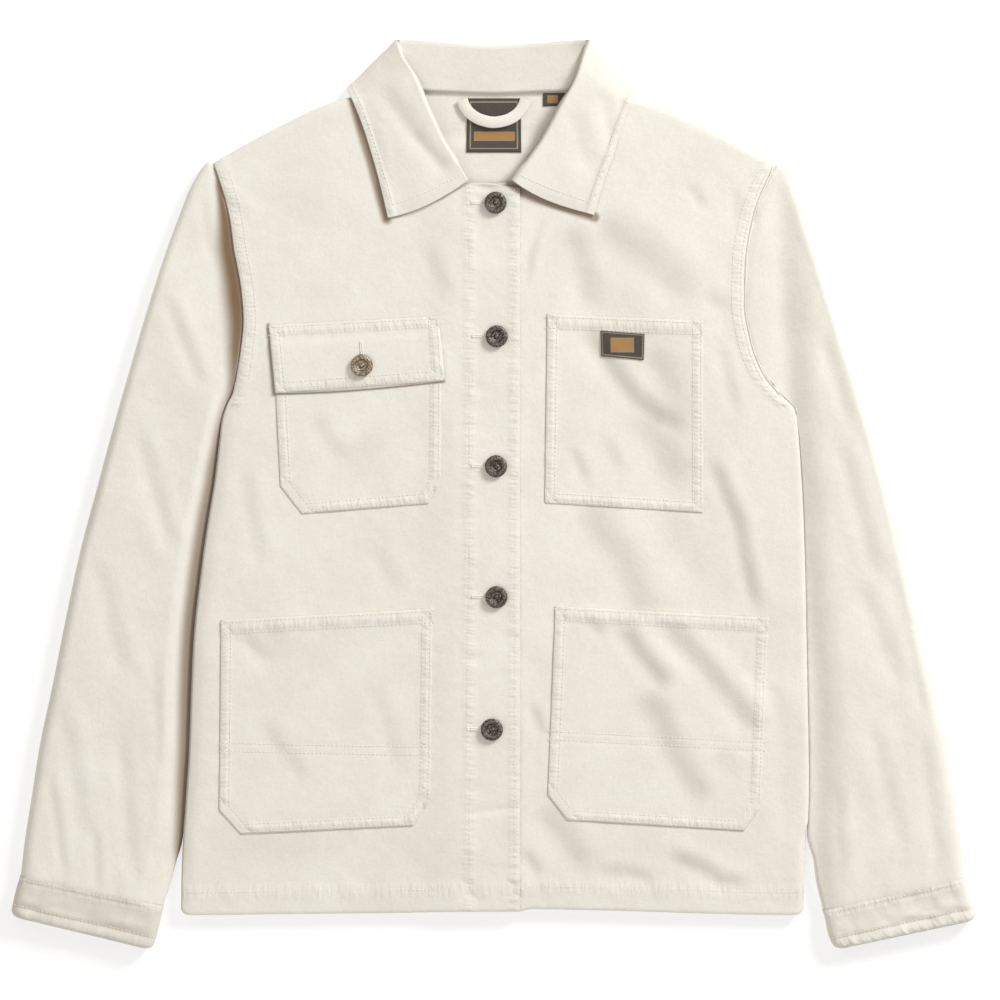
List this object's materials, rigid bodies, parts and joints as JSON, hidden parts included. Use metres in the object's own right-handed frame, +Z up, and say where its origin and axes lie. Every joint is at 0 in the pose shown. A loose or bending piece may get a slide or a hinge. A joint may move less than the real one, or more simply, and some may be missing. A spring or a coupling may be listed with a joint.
{
  "type": "chore jacket",
  "caption": "Undyed canvas chore jacket laid flat on its back, buttoned, with a turned-down collar, patch pockets, a buttoned chest flap, long sleeves and cuffs",
  "frame": {"origin": "on the table, under the middle of the laid jacket's outline", "axes": "+X runs across the jacket to the wearer's left, from cuff to cuff; +Y runs from the hem to the collar; +Z is up from the table"},
  "size_m": [0.7719, 0.7257, 0.0254],
  "materials": {
    "canvas": "matt undyed cotton canvas",
    "button_metal": "dark antique metal",
    "flap_button_metal": "dull pale antique metal",
    "label": "dark woven label"
  },
  "bodies": {
    "root": {"back": "canvas", "front_right": "canvas", "front_left": "canvas", "sleeve_right": "canvas", "sleeve_left": "canvas", "cuff_right": "canvas", "cuff_left": "canvas", "collar": "canvas", "chest_pocket_right": "canvas", "chest_flap": "canvas", "chest_pocket_left": "canvas", "lower_pocket_right": "canvas", "lower_pocket_left": "canvas", "patch_label": "label", "front_button_1": "button_metal", "front_button_2": "button_metal", "front_button_3": "button_metal", "front_button_4": "button_metal", "front_button_5": "button_metal", "flap_button": "flap_button_metal", "neck_label": "label", "size_tab": "label", "hanger_loop": "canvas"}
  },
  "joints": []
}
